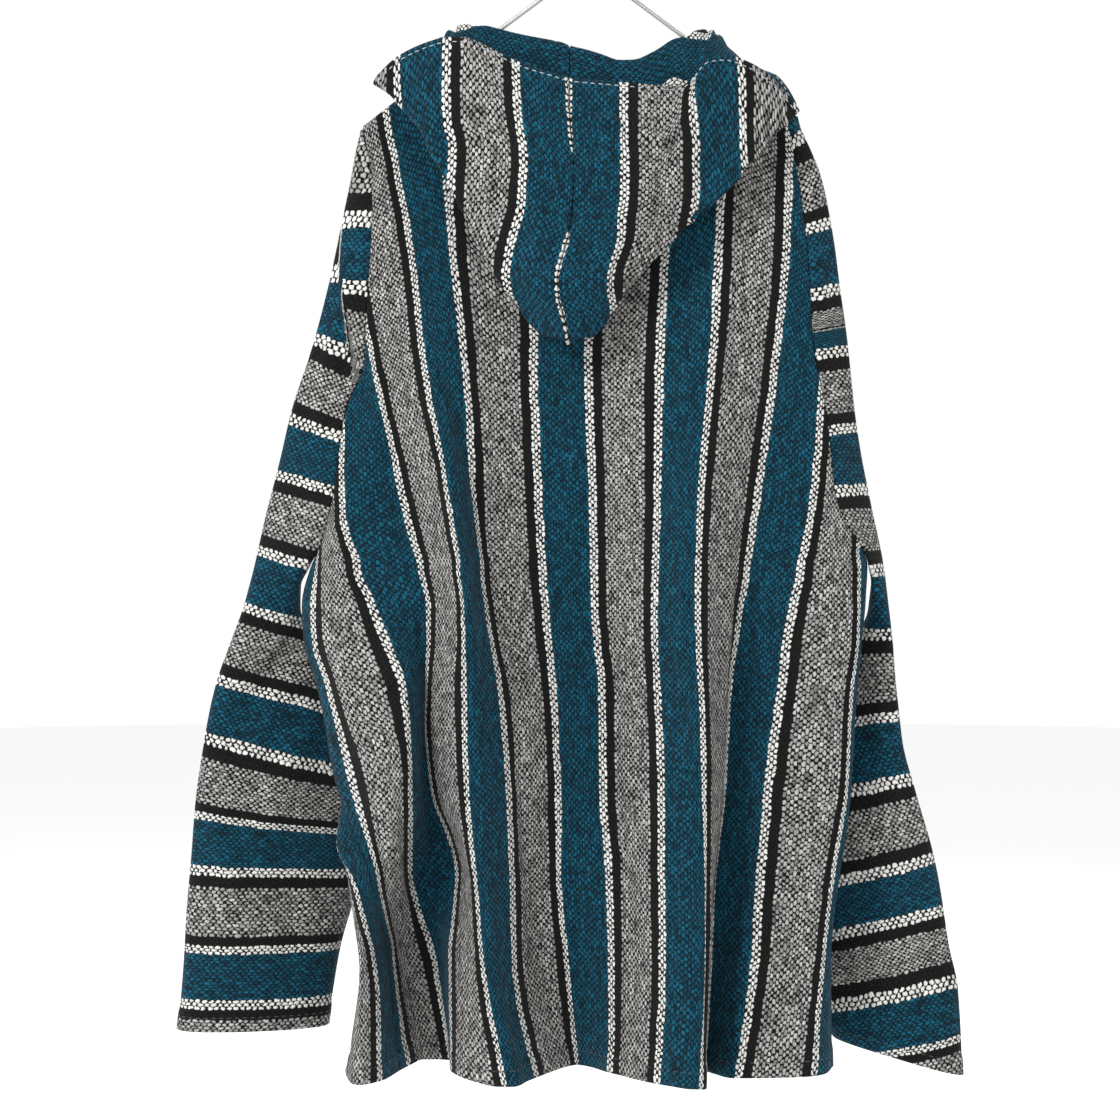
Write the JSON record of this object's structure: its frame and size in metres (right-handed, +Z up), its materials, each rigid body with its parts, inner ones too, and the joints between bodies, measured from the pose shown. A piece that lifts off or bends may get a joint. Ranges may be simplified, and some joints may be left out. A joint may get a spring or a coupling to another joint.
{
  "type": "baja hoodie on a wire hanger",
  "caption": "Baja hoodie of striped teal, grey, black and white jerga cloth, hanging flat on a steel wire hanger with its hood down the back.",
  "frame": {"origin": "where a rail bears on the inside of the hanger's hook, at the top of the hook and in the middle of the wire", "axes": "+Z up, away from the pull of the weight; -Y out of the garment's back, which carries the hood; +X to the right as one looks at the back"},
  "size_m": [0.6363, 0.1683, 0.9616],
  "materials": {
    "jerga_cloth": "coarse plain weave, matt, with woven stripes",
    "steel_wire": "bright, smooth"
  },
  "bodies": {
    "root": {"body_back": "jerga_cloth", "body_front": "jerga_cloth", "sleeve_left": "jerga_cloth", "sleeve_right": "jerga_cloth", "hood_left": "jerga_cloth", "hood_right": "jerga_cloth", "hanger": "steel_wire"}
  },
  "joints": []
}
